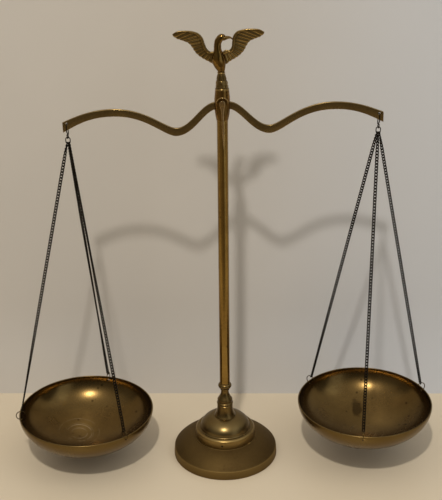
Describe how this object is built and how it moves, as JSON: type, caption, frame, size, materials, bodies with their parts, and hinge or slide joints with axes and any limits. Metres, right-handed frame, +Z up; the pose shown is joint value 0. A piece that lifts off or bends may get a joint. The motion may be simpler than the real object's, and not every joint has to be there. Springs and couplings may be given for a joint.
{
  "type": "two-pan beam scale",
  "caption": "Brass two-pan balance scale: turned stand, wavy rocking beam with pointer, bird finial, and two shallow pans on chains.",
  "frame": {"origin": "centre of the base's underside, on the table", "axes": "+Z up along the column, X along the beam, -Y to the front, where the pointer hangs"},
  "size_m": [0.4751, 0.1567, 0.495],
  "materials": {
    "base_brass": "satin, aged brown",
    "felt": "felt",
    "riser_brass": "polished, lightly aged",
    "fastener_brass": "plain",
    "turned_brass": "aged, polished on the high spots",
    "column_brass": "polished, lightly aged",
    "bird_brass": "cast and polished, dark in the hollows",
    "beam_brass": "aged, edges worn",
    "hook_brass": "tarnished",
    "chain_brass": "dark tarnish",
    "ring_brass": "tarnished",
    "pan_brass": "satin, aged"
  },
  "bodies": {
    "stand": {"base_plate": "base_brass", "base_pad": "felt", "riser": "riser_brass", "grub_screw": "fastener_brass", "baluster": "turned_brass", "column_collar": "turned_brass", "column": "column_brass", "tie_rod": "fastener_brass", "tie_washer": "fastener_brass", "tie_nut": "fastener_brass", "yoke": "turned_brass", "finial_stud": "fastener_brass", "eagle_finial": "bird_brass"},
    "beam": {"beam": "beam_brass", "pivot_pin": "fastener_brass", "pivot_nut": "fastener_brass", "pointer": "beam_brass"},
    "left_hook": {"left_hook": "hook_brass"},
    "left_ring": {"left_jump_ring": "hook_brass"},
    "left_pan": {"left_chain_1": "chain_brass", "left_chain_2": "chain_brass", "left_chain_3": "chain_brass", "left_rim_ring_1": "ring_brass", "left_rim_ring_2": "ring_brass", "left_rim_ring_3": "ring_brass", "left_pan": "pan_brass"},
    "right_hook": {"right_hook": "hook_brass"},
    "right_ring": {"right_jump_ring": "hook_brass"},
    "right_pan": {"right_chain_1": "chain_brass", "right_chain_2": "chain_brass", "right_chain_3": "chain_brass", "right_rim_ring_1": "ring_brass", "right_rim_ring_2": "ring_brass", "right_rim_ring_3": "ring_brass", "right_pan": "pan_brass"}
  },
  "joints": [
    {"name": "beam_rock", "type": "hinge", "parent": "stand", "child": "beam", "pos_m": [0, 0, 0.4185], "axis": [0, -1, 0], "range_deg": [-7.4, 4.6]},
    {"name": "left_hook_swing", "type": "hinge", "parent": "beam", "child": "left_hook", "pos_m": [-0.15958, 0, 0.3993], "axis": [0, -1, 0], "range_deg": [-4.6, 7.4]},
    {"name": "left_ring_swing", "type": "hinge", "parent": "left_hook", "child": "left_ring", "pos_m": [-0.15958, 0, 0.3835], "axis": [0, -1, 0], "range_deg": [-10, 10]},
    {"name": "left_pan_swing", "type": "hinge", "parent": "left_ring", "child": "left_pan", "pos_m": [-0.15958, 0, 0.37805], "axis": [1, 0, 0], "range_deg": [-10, 10]},
    {"name": "right_hook_swing", "type": "hinge", "parent": "beam", "child": "right_hook", "pos_m": [0.16033, 0, 0.40711], "axis": [0, -1, 0], "range_deg": [-4.6, 7.4]},
    {"name": "right_ring_swing", "type": "hinge", "parent": "right_hook", "child": "right_ring", "pos_m": [0.16033, 0, 0.39131], "axis": [0, -1, 0], "range_deg": [-10, 10]},
    {"name": "right_pan_swing", "type": "hinge", "parent": "right_ring", "child": "right_pan", "pos_m": [0.16033, 0, 0.38586], "axis": [1, 0, 0], "range_deg": [-10, 10]}
  ],
  "couplings": [
    {"joint": "left_hook_swing", "follows": "beam_rock", "ratio": -1},
    {"joint": "right_hook_swing", "follows": "beam_rock", "ratio": -1}
  ]
}
